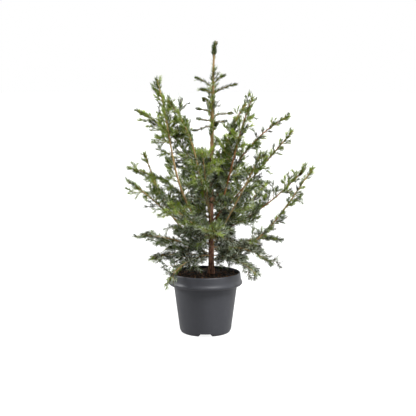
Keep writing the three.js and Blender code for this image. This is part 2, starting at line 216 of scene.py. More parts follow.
# Short twigs of the leading shoot: height on the trunk, bearing, reach and height of the tip, as a bough's.
LEADER_LEAVE = 40
LEADER_ARRIVE = 15
LEADER_TWIGS = [
    (757, 160, 56, 788),
    (739, 348, 72, 768),
    (768, 40, 46, 795),
    (736, 215, 45, 754),
    (716, 92, 52, 742),
    (690, 235, 50, 727),
    (680, 168, 50, 695),
    (668, 18, 64, 681),
    (652, 204, 50, 664),
    (645, 322, 53, 658),
    (635, 148, 74, 627),
]
LEADER_BOUGHS = [
    Bough(f"leader_twig_{i + 1}", *twig, LEADER_LEAVE, LEADER_ARRIVE, 0)
    for i, twig in enumerate(LEADER_TWIGS)
]
ALL_BOUGHS = MAIN_BOUGHS + INNER_BOUGHS + LEADER_BOUGHS
LEADER_TIP_X = 33 * MM
LEADER_TIP_HEIGHT = 897 * MM
LEADER_TIP_BEND = 6 * MM
LEADER_TIP_STEP = 4 * MM
LEADER_TIP_RADIUS = 1.8 * MM


class Habit(NamedTuple):
    """How side shoots leave their stem: the first one's place, spacing, room left at the tip, length at the
    stem's root and the share of it at the tip, slopes to the stem at root and tip, roll out of the spray's
    plane on a level and on a steep stem, and how far the end rises as a share of the length."""
    first: float
    spacing: float
    last: float
    length: float
    at_tip: float
    slope_root: float
    slope_tip: float
    level_roll: float
    steep_roll: float
    lift: float


BOUGH_HABIT = Habit(10 * MM, 6 * MM, 8 * MM, 90 * MM, 0.2, 68, 44, 26, 90, -0.03)
INNER_HABIT = Habit(14 * MM, 10 * MM, 10 * MM, 92 * MM, 0.5, 64, 42, 20, 90, 0.0)
SKIRT_HABIT = Habit(12 * MM, 9.5 * MM, 10 * MM, 84 * MM, 0.45, 64, 42, 30, 90, -0.14)
TRUNK_HABIT = Habit(0 * MM, 6 * MM, 30 * MM, 104 * MM, 0.6, 66, 48, 180, 180, -0.1)
LEADER_HABIT = Habit(40 * MM, 14 * MM, 8 * MM, 12 * MM, 0.8, 48, 45, 40, 90, 0.1)
SPUR_HABIT = Habit(0 * MM, 5.5 * MM, 64 * MM, 30 * MM, 0.35, 52, 44, 180, 180, 0.2)
SPRIG_HABIT = Habit(16 * MM, 11 * MM, 10 * MM, 30 * MM, 0.5, 46, 38, 24, 45, 0.0)
# How shoots thin out, taper, bend and vary, as shares, and how thick and how bare each kind is.
SPRIG_THINNING = 0.8
SHOOT_WIDENING = 0.4
SPACING_VARIETY = 0.3
SHOOT_TAPER = 1.1
SHOOT_VARIETY = 0.35
SHOOT_TRIES = (1, 0.75, 0.5)
SHOOT_STEP = 9 * MM
SHOOT_BEND = 0.04
SHOOT_THINNING = 0.6
TWIG_THICKNESS = 1 * MM
SPRIG_THICKNESS = 0.6 * MM
LEADER_THICKNESS = 1.8 * MM
SHOOT_BARE = 0.1
LIMB_BARE = 0.15
LEADER_BARE = 0.15
LEADER_TAPER = 0.7
END_POINTS = 5
LEADER_END_POINTS = 3
# Shoots keep this far from the pot and the trunk, apart from their first points, which lie in the stem.
POT_CLEARANCE = 5 * MM
TRUNK_CLEARANCE = POT_CLEARANCE / 2
ROOT_POINTS = 2
# How much nearer than its own bough another one may be to a shoot.
MINGLE = 25 * MM
# Two stretches of the trunk carry shoots of their own: long sprays below, and short spurs on the leader.
SPRAY_LOW = 292 * MM
SPRAY_HIGH = 590 * MM
SPUR_LOW = 600 * MM
STRETCH_POINTS = 40

# The photograph's viewpoint, and what shows through the crown from there: patches of sky, and the compost
# and two stretches of the trunk, which no shoot hangs before. Each has its lowest and highest point and its
# left and right edge, where the line of sight passes the trunk.
VIEWPOINT = np.array((7.8, -3050, 777)) * MM
VIEW_HEIGHT = 389 * MM
LENS = 86.2
SENSOR_WIDTH = 36
SKY_VIEWS = np.array([
    (572, 630, -40, 12),
    (650, 680, 34, 84),
    (494, 550, -180, -122),
    (378, 430, 196, 246),
    (350, 388, 168, 214),
    (304, 336, 88, 142),
    (334, 362, -136, -86),
]) * MM
CLEAR_VIEWS = np.array([
    (0, 190, -88, 8),
    (0, 206, 8, 112),
    (0, 264, 6, 32),
    (345, 392, 0, 36),
]) * MM
# A shoot further back than this hides none of the clear views.
CLEAR_BACK = SOIL_RADIUS / 2

# The lower part of each bough in the front half of the crown shows its stem: no shoot leaves it forwards.
OPEN_SIDE = np.array((0.0, -1.0, 0.0))
OPEN_BEARING = 0.2
OPEN_BEYOND_BARE = 0.3
OPEN_WIDTH = 0.35

# Needles, at the size they grow: length inside the crown, at its outer ends and on the leading shoot, width
# at the root and at the end, spread from the shoot in degrees, and the share of places that carry one.
NEEDLE_SPACING = 0.65 * MM
NEEDLE_INNER = 14 * MM
NEEDLE_OUTER = 11 * MM
NEEDLE_LEADER = 8 * MM
NEEDLE_PLUME = 15 * MM
NEEDLE_WIDTH = 1.8 * MM
NEEDLE_END = 0.8 * MM
NEEDLE_LIFT = 0.12
LENGTH_RANGE = (0.75, 1.15)
SPREAD_INNER = 46
SPREAD_OUTER = 40
SPREAD_LEADER = 58
SPREAD_PLUME = 38
SPREAD_AT_TIP = 0.55
SPREAD_RANGE = (0.8, 1.2)
ANY_SHARE = (0, 1)
ANY_TURN = (0, math.tau)
LEADER_COVER = [
    (600 * MM, 735 * MM, 0.6),
    (735 * MM, 790 * MM, 0.45),
    (790 * MM, 818 * MM, 0.7),
    (818 * MM, 856 * MM, 0.3),
]
TUFT_LENGTH = 8 * MM
LIMB_COVER = 0.4
TWIG_COVER = 0.75
SPRIG_COVER = 0.75
INNER_COVER = 0.9
LEADER_TWIG_COVER = 1
TUFT_COVER = 0.9
# The plume is the tuft at the very top. It ends a few points of the path short of the tip.
PLUME_FOOT = 845 * MM
PLUME_RADIUS = 1 * MM
PLUME_SHORT_BY = 3
NEEDLES_PER_PIECE = 45000
SEEDS_PER_TINT = 10

# Needle tints: base colour, and how likely a spray is to have it low inside the crown and at its outer ends.
TINTS = {
    "deep": ("#566828", 0.8, 2.4),
    "leaf": ("#93a555", 1.4, 3.6),
    # A dark tint for old needles and for painted shade, dealt mostly low inside the crown, where shade
    # falls.
    "dark_and_shade": ("#343722", 3.0, 0.0),
    "silver": ("#849275", 4.5, 0.0),
    "fresh": ("#aabb60", 0.15, 1.6),
    "lime": ("#9ab040", 0.0, 0.12),
    # Pale needles: partly the white bands of the needles, partly painted highlights, dealt most inside the
    # crown.
    "pale": ("#ccd4c0", 0.0, 0.0),
}
# The tint of a spray's bright ends, and the one that shades it.
BRIGHTER = {
    "deep": "leaf", "leaf": "fresh", "dark_and_shade": "silver", "silver": "leaf", "fresh": "lime", "lime": "lime",
}
DARKER = {
    "deep": "deep", "leaf": "deep", "dark_and_shade": "dark_and_shade", "silver": "dark_and_shade", "fresh": "leaf", "lime": "fresh",
}
LEADER_STEM_TINTS = ("deep", "leaf")
LEADER_TWIG_TINTS = (("deep", 0.6), ("dark_and_shade", 0.4))
PLUME_TINTS = ("deep", "deep", "dark_and_shade", "silver")
DARKER_SHARE = 0.45
PALE_SHARE = 0.3
BRIGHT_TIPS = 0.35
BRIGHT_POINTS = 3
# How far up and out a place is: heights where that begins and is full, reach, and the share of each.
INNER_HEIGHT = 280 * MM
OUTER_HEIGHT = 600 * MM
OUTER_REACH = 250 * MM
HIGH_SHARE = 0.7
FAR_SHARE = 0.45

# Light: strength of the white surround before the plant, behind it and to its right, where in the surround
# each begins and is full, and two soft suns.
FRONT_LIGHT = 0.1
BACK_LIGHT = 1
BACK_RANGE = (-0.6, 0.7)
RIGHT_LIGHT = 1.1
RIGHT_RANGE = (0.2, 0.9)
KEY_LIGHT = 3.7
KEY_PLACE = (1.0, -1.6, 2.9)
FILL_LIGHT = 2.4
FILL_PLACE = (-2.3, 0.3, 1.6)
SUN_SOFTNESS = 18
# The floor glows white for the camera, less where the pot mirrors it, and lights nothing.
FLOOR_REACH = 60
FLOOR_GLOW = 0.9
FLOOR_GLOSS = 0.4


def linear(hex_colour):
    """An sRGB hex colour as linear RGBA."""
    channels = [int(hex_colour[i:i + 2], 16) / 255 for i in (1, 3, 5)]
    return *[c / 12.92 if c <= 0.04045 else ((c + 0.055) / 1.055) ** 2.4 for c in channels], 1.0


def result(node, name=None):
    """A node's output of that name, or its first."""
    return next(s for s in node.outputs if s.enabled and name in (None, s.name))


def connect(node, wires):
    """Gives inputs of a node, by name or place, a value, an output, or another node's first output."""
    for name, value in wires.items():
        shown = [socket for socket in node.inputs if socket.enabled]
        socket = shown[name] if isinstance(name, int) else next(s for s in shown if s.name == name)
        source = result(value) if isinstance(value, bpy.types.Node) else value
        if isinstance(source, bpy.types.NodeSocket):
            node.id_data.links.new(source, socket)
        else:
            socket.default_value = source


def add_node(tree, kind, wires=None, **settings):
    """A node with its settings, and what feeds its inputs."""
    node = tree.nodes.new(kind)
    for name, value in settings.items():
        setattr(node, name, value)
    connect(node, wires or {})
    return node


def new_material(name, values):
    """A material and its shader, which has some plain values and is ready to be fed."""
    material = bpy.data.materials.new(name)
    material.use_nodes = True
    shader = material.node_tree.nodes["Principled BSDF"]
    connect(shader, values)
    return material, shader


def object_noise(tree, size, stretch=EVEN, detail=4):
    """Noise on Object coordinates whose patches are about a given size."""
    place = add_node(tree, "ShaderNodeTexCoord")
    mapped = add_node(tree, "ShaderNodeMapping", {"Vector": result(place, "Object"), "Scale": stretch})
    patches = add_node(tree, "ShaderNodeTexNoise", {"Vector": mapped, "Scale": 1 / size, "Detail": detail})
    return result(patches, "Fac")


def colour_steps(tree, factor, stops):
    """A ramp through hex colours at given places."""
    ramp = add_node(tree, "ShaderNodeValToRGB", {"Fac": factor})
    elements = ramp.color_ramp.elements
    while len(elements) < len(stops):
        elements.new(1)
    for element, (place, colour) in zip(elements, stops):
        element.position = place
        element.color = linear(colour)
    return result(ramp, "Color")


def add_tones(shader, stops, size, stretch=EVEN, detail=4):
    """Patches of colour about a given size on a shader's surface."""
    patches = object_noise(shader.id_data, size, stretch, detail)
    tone = colour_steps(shader.id_data, patches, stops)
    connect(shader, {"Base Color": tone})


def add_relief(shader, strength, depth, size, stretch=EVEN, detail=4):
    """Bumps about a given size and depth on a shader's surface."""
    tree = shader.id_data
    height = object_noise(tree, size, stretch, detail)
    bump = add_node(tree, "ShaderNodeBump", {"Height": height, "Strength": strength, "Distance": depth})
    connect(shader, {"Normal": bump})


def moulded_polypropylene():
    """Dark grey polypropylene from a spark-eroded mould: a soft sheen, a fine grit and faint flow marks."""
    values = {"IOR": 1.49, "Specular IOR Level": 0.3}
    material, shader = new_material("moulded_polypropylene", values)
    add_tones(shader, [(0.3, "#3f4045"), (0.7, "#48494e")], size=60 * MM, stretch=(1, 1, 0.25))
    # The mould's grit is about 0.2 mm. It is drawn at 1.5 mm, so that it shows.
    add_relief(shader, strength=0.12, depth=0.3 * MM, size=1.5 * MM, detail=2)
    tree = material.node_tree
    wear = object_noise(tree, size=25 * MM)
    gloss = add_node(tree, "ShaderNodeMapRange", {"Value": wear, "To Min": 0.38, "To Max": 0.5})
    connect(shader, {"Roughness": gloss})
    return material


def peat_compost():
    """Moist peat with fibres: near black, with brown crumbs and no sheen."""
    material, shader = new_material("peat_compost", {"Roughness": 0.9, "IOR": 1.4})
    add_tones(shader, [(0.3, "#17110c"), (0.55, "#30241a"), (0.75, "#4d3826")], size=5 * MM)
    add_relief(shader, strength=0.8, depth=1.5 * MM, size=2 * MM)
    return material


def composted_bark():
    """Shreds of composted bark: red-brown, each chip in a tone of its own."""
    material, shader = new_material("composted_bark", {"Roughness": 0.85, "IOR": 1.45})
    tones = [(0.35, "#35261c"), (0.5, "#6a4a34"), (0.65, "#8e6a4c")]
    add_tones(shader, tones, size=9 * MM, detail=1)
    return material


def trunk_bark():
    """Thin scaly spruce bark: red-brown and flaking at the foot, smoother and tan towards the leader."""
    material, shader = new_material("spruce_trunk_bark", {"Roughness": 0.82, "IOR": 1.45})
    tree = material.node_tree
    flakes = object_noise(tree, size=5 * MM, stretch=(1, 1, 0.4))
    old = colour_steps(tree, flakes, [(0.35, "#684635"), (0.55, "#9a6f58"), (0.72, "#bc9880")])
    young = colour_steps(tree, flakes, [(0.35, "#846840"), (0.65, "#b49468")])
    place = add_node(tree, "ShaderNodeTexCoord")
    height = add_node(tree, "ShaderNodeSeparateXYZ", {"Vector": result(place, "Object")})
    age = add_node(tree, "ShaderNodeMapRange", {
        "Value": result(height, "Z"), "From Min": OLD_BARK_TOP, "From Max": YOUNG_BARK_FOOT,
    })
    tone = add_node(tree, "ShaderNodeMix", {"Factor": age, "A": old, "B": young}, data_type="RGBA")
    connect(shader, {"Base Color": tone})
    add_relief(shader, strength=0.7, depth=1 * MM, size=2.5 * MM, stretch=(1, 1, 0.5))
    return material


def limb_bark(name, dark, middle, light):
    """Bark of two or three years, ribbed by the pegs that shed needles leave."""
    material, shader = new_material(f"spruce_{name}_bark", {"Roughness": 0.7, "IOR": 1.45})
    add_tones(shader, [(0.3, dark), (0.5, middle), (0.7, light)], size=12 * MM)
    add_relief(shader, strength=0.6, depth=0.8 * MM, size=1.6 * MM, detail=1)
    return material


def twig_bark():
    """Bark of this year and last: pale tan with a green cast."""
    material, shader = new_material("spruce_twig_bark", {"Roughness": 0.65, "IOR": 1.45})
    add_tones(shader, [(0.35, "#6f5c35"), (0.6, "#a08a56")], size=15 * MM)
    return material


def spruce_needles(name, colour):
    """Waxy needles of one tint, with a dull gloss."""
    values = {"Base Color": linear(colour), "Roughness": 0.5, "IOR": 1.45, "Specular IOR Level": 0.06}
    return new_material(f"spruce_needles_{name}", values)[0]


def studio_floor():
    """Matt white paper under the pot."""
    values = {"Roughness": 0.9, "IOR": 1.45}
    values |= {"Base Color": linear("#888888"), "Emission Color": linear("#ffffff")}
    material, shader = new_material("white_paper", values)
    tree = material.node_tree
    ray = add_node(tree, "ShaderNodeLightPath")
    mirrored = add_node(tree, "ShaderNodeMapRange", {
        "Value": result(ray, "Is Glossy Ray"), "To Max": FLOOR_GLOSS,
    })
    glow = add_node(tree, "ShaderNodeMapRange", {
        "Value": result(ray, "Is Camera Ray"), "To Min": mirrored, "To Max": FLOOR_GLOW,
    })
    connect(shader, {"Emission Strength": glow})
    return material


def add_object(name, data):
    """An object at the origin of the scene."""
    added = bpy.data.objects.new(name, data)
    bpy.context.scene.collection.objects.link(added)
    return added


def finish_piece(piece, slot, *stands_for):
    """Makes a piece move with the plant and stand for some of the solids. Its slot is not used."""
    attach(piece, "root")
    if stands_for:
        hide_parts(*stands_for)
    return piece


def mesh_of(name, points, faces, material, smooth_angle=None):
    """A mesh from points and faces, smooth where its faces meet at less than an angle."""
    mesh = bpy.data.meshes.new(name)
    mesh.from_pydata(points, [], faces)
    mesh.materials.append(material)
    if smooth_angle:
        mesh.shade_smooth()
        mesh.set_sharp_from_angle(angle=math.radians(smooth_angle))
    return mesh


def rounded(corners, steps):
    """A profile's points. Each corner is a quadratic arc that spans its rounding, or half the edge if that
    is less, either way."""
    points = []
    for i, (radius, height, rounding) in enumerate(corners):
        corner = np.array((radius, height))
        if not rounding:
            points.append(corner)
            continue
        ways = [corners[j, :2] - corner for j in (i - 1, i + 1)]
        start, end = [corner + way * min(0.5, rounding / np.linalg.norm(way)) for way in ways]
        for share in np.linspace(0, 1, steps):
            points.append((1 - share) ** 2 * start + 2 * share * (1 - share) * corner + share ** 2 * end)
    return np.array(points)


def turned_mesh(name, profile, sides, material, smooth_angle):
    """A profile that starts and ends on the axis, turned about it."""
    angles = np.arange(sides) * math.tau / sides
    rings = profile[1:-1]
    points = [(0, 0, profile[0, 1])]
    for radius, height in rings:
        points += [(radius * math.cos(a), radius * math.sin(a), height) for a in angles]
    points.append((0, 0, profile[-1, 1]))
    last = len(points) - 1
    faces = []
    for j in range(sides):
        k = (j + 1) % sides
        faces.append((0, 1 + k, 1 + j))
        for i in range(len(rings) - 1):
            low, high = 1 + i * sides, 1 + (i + 1) * sides
            faces.append((low + j, low + k, high + k, high + j))
        top = last - sides
        faces.append((top + j, top + k, last))
    return mesh_of(name, points, faces, material, smooth_angle)


def make_pot():
    """The pot's shell. Its foot ring is raised over each drainage notch."""
    profile = rounded(POT_PROFILE, POT_ARC_STEPS)
    mesh = turned_mesh("pot_shell", profile, POT_SIDES, moulded_polypropylene(), POT_SHARP_ANGLE)
    between = math.tau / POT_NOTCHES
    for vertex in mesh.vertices:
        x, y, z = vertex.co
        radius = math.hypot(x, y)
        if radius < NOTCH_INNER or z > NOTCH_HEIGHT:
            continue
        angle = (math.atan2(y, x) + between / 2) % between - between / 2
        aside = abs(radius * math.sin(angle))
        share = (NOTCH_HALF_WIDTH - aside) / (NOTCH_HALF_WIDTH - NOTCH_HALF_TOP)
        vertex.co.z = max(z, NOTCH_HEIGHT * min(max(share, 0), 1))
    mesh.set_sharp_from_angle(angle=math.radians(POT_SHARP_ANGLE))
    finish_piece(add_object("pot_shell", mesh), "pot_plastic", "pot")


def soil_top(x, y):
    """Height of the compost, which is uneven and a little mounded round the trunk."""
    from_trunk = math.hypot(x - TRUNK_FOOT_X, y)
    mound = SOIL_MOUND * math.exp(-((from_trunk / SOIL_MOUND_WIDTH) ** 2))
    clods = noise.noise(Vector((x, y, 0)) / CLOD_SIZE)
    lumps = noise.noise(Vector((x, y, 1)) / LUMP_SIZE)
    uneven = CLOD_SHARE * clods + (1 - CLOD_SHARE) * lumps
    return SOIL_HEIGHT - SOIL_RELIEF / 2 + mound + SOIL_RELIEF * uneven


def make_soil():
    """The compost's bed, closed below, whose top carries the crumbs."""
    radii = np.linspace(0, SOIL_RADIUS, SOIL_RINGS)
    foot = [(0, -SOIL_DEPTH), (SOIL_FOOT_SHARE * SOIL_RADIUS, -SOIL_DEPTH)]
    bed = np.array(foot + [(radius, 0) for radius in radii[::-1]])
    mesh = turned_mesh("compost_bed", bed, SOIL_SIDES, peat_compost(), SOIL_SHARP_ANGLE)
    for vertex in mesh.vertices:
        x, y, z = vertex.co
        vertex.co.z = SOIL_HEIGHT + z if z < 0 else soil_top(x, y)
    return finish_piece(add_object("compost_bed", mesh), "soil", "soil")


def trunk_axis(height):
    """The trunk's centre at a height."""
    share = (height - SOIL_HEIGHT) / (TRUNK_TOP - SOIL_HEIGHT)
    return np.array((TRUNK_FOOT_X - TRUNK_SWAY * share + TRUNK_LEAN * share ** 2, 0, height))


def trunk_radius(height):
    """The trunk's radius at a height, with the root flare."""
    flare = TRUNK_FLARE * math.exp((TRUNK_FOOT - height) / TRUNK_FLARE_HEIGHT)
    return np.interp(height, TRUNK_RADII[:, 0], TRUNK_RADII[:, 1]) + flare


def blend(start, end, share):
    """What lies a share of the way from one value to another."""
    return start + (end - start) * share


def swung(start, towards, degrees):
    """A direction turned by an angle towards another one that is square to it."""
    angle = math.radians(degrees)
    return math.cos(angle) * start + math.sin(angle) * towards


def lengths_along(line):
    """The length from a line's start to each of its points."""
    steps = np.linalg.norm(np.diff(line, axis=0), axis=1)
    return np.concatenate(([0], np.cumsum(steps)))


def evenly_spaced(line, step):
    """The same line with points about one step apart."""
    along = lengths_along(line)
    places = np.linspace(0, along[-1], max(LEAST_POINTS, round(along[-1] / step) + 1))
    return np.column_stack([np.interp(places, along, line[:, axis]) for axis in range(3)])


def bearing_vector(degrees):
    """The level direction of a bearing."""
    return np.array((math.cos(math.radians(degrees)), math.sin(math.radians(degrees)), 0))


def bezier(*controls):
    """Points of a curve with three or four controls."""
    share = np.linspace(0, 1, CURVE_POINTS)[:, None]
    points = [np.repeat(np.array(c)[None, :], len(share), axis=0) for c in controls]
    while len(points) > 1:
        points = [(1 - share) * a + share * b for a, b in zip(points, points[1:])]
    return points[0]


def bough_line(bough):
    """A bough's path: it leaves the trunk at one slope and ends at another, in one upright plane."""
    out = bearing_vector(bough.bearing)
    root = trunk_axis(bough.height * MM)
    tip = root + bough.reach * MM * out
    tip[2] = bough.top * MM
    pull = LIMB_PULL * np.linalg.norm(tip - root)
    leave = swung(out, UP, bough.leave)
    arrive = swung(out, UP, bough.arrive)
    return evenly_spaced(bezier(root, root + pull * leave, tip - pull * arrive, tip), LIMB_STEP)


class Shoot(NamedTuple):
    """One stem: its centre line, the direction that its spray faces, the radius at root and tip, the share
    that is bare, how thickly the rest is needled before and at the tip, and its needles' length and spread.
    """
    line: np.ndarray
    face: np.ndarray
    thick: float
    thin: float
    bare: float
    cover: float
    tuft: float
    needle: float
    spread: float


def outer_share(point):
    """How far up and out of the crown a point is."""
    high = np.clip((point[2] - INNER_HEIGHT) / (OUTER_HEIGHT - INNER_HEIGHT), 0, 1)
    far = np.clip(math.hypot(point[0] - TRUNK_FOOT_X, point[1]) / OUTER_REACH, 0, 1)
    return min(HIGH_SHARE * high + FAR_SHARE * far ** 2, 1)


def new_shoot(line, face, thick, thin, bare=0, cover=0, tuft=TUFT_COVER):
    """A shoot whose needles suit its place: long and open inside the crown, short and close outside."""
    share = outer_share(line[-1])
    needle = blend(NEEDLE_INNER, NEEDLE_OUTER, share)
    spread = blend(SPREAD_INNER, SPREAD_OUTER, share)
    thinned = blend(INNER_COVER, 1, share)
    return Shoot(line, face, thick, thin, bare, thinned * cover, thinned * tuft, needle, spread)


def direction_at(line, share):
    """The point and the heading at a share of a line."""
    place = share * (len(line) - 1)
    i = min(int(place), len(line) - 2)
    step = line[i + 1] - line[i]
    return line[i] + (place - i) * step, step / np.linalg.norm(step)


def varied(random, share):
    """A factor that lies within a share of 1."""
    return 1 + share * random.uniform(-1, 1)


class Crown:
    """Every main path, so that a shoot can keep to the room of the bough that it grows on."""

    def __init__(self, lines):
        self.lines = lines
        points = np.concatenate(lines)
        self.paths = KDTree(len(points))
        for i, point in enumerate(points):
            self.paths.insert(point, i)
        self.paths.balance()

    def has_room(self, point, own):
        """Whether a point is clear of the trunk and the pot, inside the solids' box, out of the open views,
        and no further from its own bough than may mingle with the next one's."""
        height = min(max(point[2], TRUNK_FOOT), TRUNK_TOP)
        if np.linalg.norm(trunk_axis(height) - point) < trunk_radius(height) + TRUNK_CLEARANCE:
            return False
        if np.any(point < cad_low) or np.any(point > cad_high):
            return False
        x, _, z = VIEWPOINT + (point - VIEWPOINT) * VIEWPOINT[1] / (VIEWPOINT[1] - point[1])
        views = SKY_VIEWS if point[1] > CLEAR_BACK else np.concatenate((SKY_VIEWS, CLEAR_VIEWS))
        if any(low < z < high and left < x < right for low, high, left, right in views):
            return False
        over_pot = math.hypot(point[0], point[1]) < POT_COLLAR_RADIUS + POT_CLEARANCE
        if over_pot and point[2] < POT_RIM_HEIGHT + POT_CLEARANCE:
            return False
        if own is None:
            return True
        own_gap = np.linalg.norm(self.lines[own] - point, axis=1).min()
        return own_gap < self.paths.find(point)[2] + MINGLE


def side_shoots(stem, habit, crown, own, open_to, thickness, cover, random):
    """Shoots that leave a stem to either side in turn, shorter towards its tip. One that would leave the
    bough's room is shortened or left out, and so is one that would hide the open part of the stem."""
    length = lengths_along(stem.line)[-1]
    shoots = []
    side = 1 if random.random() < 0.5 else -1
    along = habit.first
    while along < length - habit.last:
        share = along / length
        centre, tangent = direction_at(stem.line, share)
        beside = np.cross(stem.face, tangent)
        beside /= np.linalg.norm(beside)
        above = np.cross(tangent, beside)
        widest = blend(habit.level_roll, habit.steep_roll, abs(tangent[2]))
        outward = swung(side * beside, above, widest * random.uniform(-1, 1))
        heading = swung(tangent, outward, blend(habit.slope_root, habit.slope_tip, share))
        full = habit.length * blend(habit.at_tip, 1, (1 - share) ** SHOOT_TAPER)
        full *= varied(random, SHOOT_VARIETY)
        hides = share < open_to and outward @ OPEN_SIDE > OPEN_WIDTH
        for cut in () if hides else SHOOT_TRIES:
            reach = full * cut
            middle = centre + heading * reach / 2 + random.normal(0, SHOOT_BEND * reach, 3)
            tip = centre + heading * reach + UP * habit.lift * reach
            line = evenly_spaced(bezier(centre, middle, tip), SHOOT_STEP)
            if all(crown.has_room(point, own) for point in line[ROOT_POINTS:]):
                face = side * np.cross(tangent, outward)
                thin = SHOOT_THINNING * thickness
                shoots.append(new_shoot(line, face, thickness, thin, SHOOT_BARE, cover))
                break
        side = -side
        along += habit.spacing * (1 + SHOOT_WIDENING * share) * varied(random, SPACING_VARIETY)
    return shoots


def cover_along(shoot):
    """How near each point of a shoot is to its tip, and how thickly it is needled there: not on the bare
    part, and most at the tip."""
    share = np.linspace(0, 1, len(shoot.line))
    tuft = np.exp(-lengths_along(shoot.line)[-1] * (1 - share) / TUFT_LENGTH)
    cover = np.where(share < shoot.bare, 0, shoot.cover)
    return tuft, blend(cover, shoot.tuft, tuft)


def lines_mesh(name, shoots):
    """Shoots as chains of edges, with the radius and the needles' length, spread and cover at each point."""
    points, edges = [], []
    traits = {"radius": [], "needle": [], "spread": [], "cover": []}
    for shoot in shoots:
        first = len(points)
        count = len(shoot.line)
        tuft, covered = cover_along(shoot)
        points += shoot.line.tolist()
        edges += [(first + i, first + i + 1) for i in range(count - 1)]
        traits["radius"] += np.linspace(shoot.thick, shoot.thin, count).tolist()
        traits["needle"] += [shoot.needle] * count
        traits["spread"] += np.radians(shoot.spread * (1 - (1 - SPREAD_AT_TIP) * tuft)).tolist()
        traits["cover"] += covered.tolist()
    mesh = bpy.data.meshes.new(name)
    mesh.from_pydata(points, edges, [])
    for key, values in traits.items():
        mesh.attributes.new(f"shoot_{key}", "FLOAT", "POINT").data.foreach_set("value", values)
    return mesh


def new_tree(name, **inputs):
    """A geometry tree, what its inputs give (named ones, the geometry and the material), and its end."""
    tree = bpy.data.node_groups.new(name, "GeometryNodeTree")
    tree.interface.new_socket("Geometry", in_out="OUTPUT", socket_type="NodeSocketGeometry")
    for key, kind in {"Geometry": "Geometry", **inputs, "Material": "Material"}.items():
        tree.interface.new_socket(key, in_out="INPUT", socket_type=f"NodeSocket{kind}")
    return tree, add_node(tree, "NodeGroupInput").outputs, add_node(tree, "NodeGroupOutput")


def close_tree(tree, given, end, geometry):
    """Ends a tree with its instances made real and in its material."""
    whole = add_node(tree, "GeometryNodeRealizeInstances", {"Geometry": geometry})
    dressed = add_node(tree, "GeometryNodeSetMaterial", {"Geometry": whole, "Material": given["Material"]})
    connect(end, {"Geometry": dressed})
    return tree


def grown_mesh(name, mesh, tree, **inputs):
    """What a tree makes of a mesh, as a plain object with no modifier."""
    grown = add_object(name, mesh)
    modifier = grown.modifiers.new(tree.name, "NODES")
    modifier.node_group = tree
    for item in tree.interface.items_tree:
        if item.in_out == "INPUT" and item.name in inputs:
            modifier[item.identifier] = inputs[item.name]
    graph = bpy.context.evaluated_depsgraph_get()
    plain = bpy.data.meshes.new_from_object(grown.evaluated_get(graph), depsgraph=graph)
    grown.modifiers.remove(modifier)
    grown.data = plain
    return grown


def bark_tree():
    """Tubes along shoots, whose skin is roughened by a share of their radius."""
    tree, given, end = new_tree("barked_stems", Step="Float", Sides="Int", Relief="Float", Grain="Float")
    add = partial(add_node, tree)
    curve = add("GeometryNodeMeshToCurve", {"Mesh": given["Geometry"]})
    even = add("GeometryNodeResampleCurve", {"Curve": curve}, mode="LENGTH")
    tree.links.new(given["Step"], even.inputs["Length"])
    radius = add("GeometryNodeInputNamedAttribute", {"Name": "shoot_radius"})
    ring = add("GeometryNodeCurvePrimitiveCircle", {"Resolution": given["Sides"], "Radius": 1.0})
    tube = add("GeometryNodeCurveToMesh", {
        "Curve": even, "Profile Curve": ring, "Scale": radius, "Fill Caps": True,
    })
    place = add("GeometryNodeInputPosition")
    rough = add("ShaderNodeTexNoise", {"Vector": place, "Scale": given["Grain"]})
    height = add("ShaderNodeMath", {0: result(rough, "Fac"), 1: 0.5}, operation="SUBTRACT")
    depth = add("ShaderNodeMath", {0: height, 1: given["Relief"]}, operation="MULTIPLY")
    lifted = add("ShaderNodeMath", {0: depth, 1: radius}, operation="MULTIPLY")
    normal = add("GeometryNodeInputNormal")
    offset = add("ShaderNodeVectorMath", {0: normal, "Scale": lifted}, operation="SCALE")
    skin = add("GeometryNodeSetPosition", {"Geometry": tube, "Offset": offset})
    smooth = add("GeometryNodeSetShadeSmooth", {"Geometry": skin})
    return close_tree(tree, given, end, smooth)


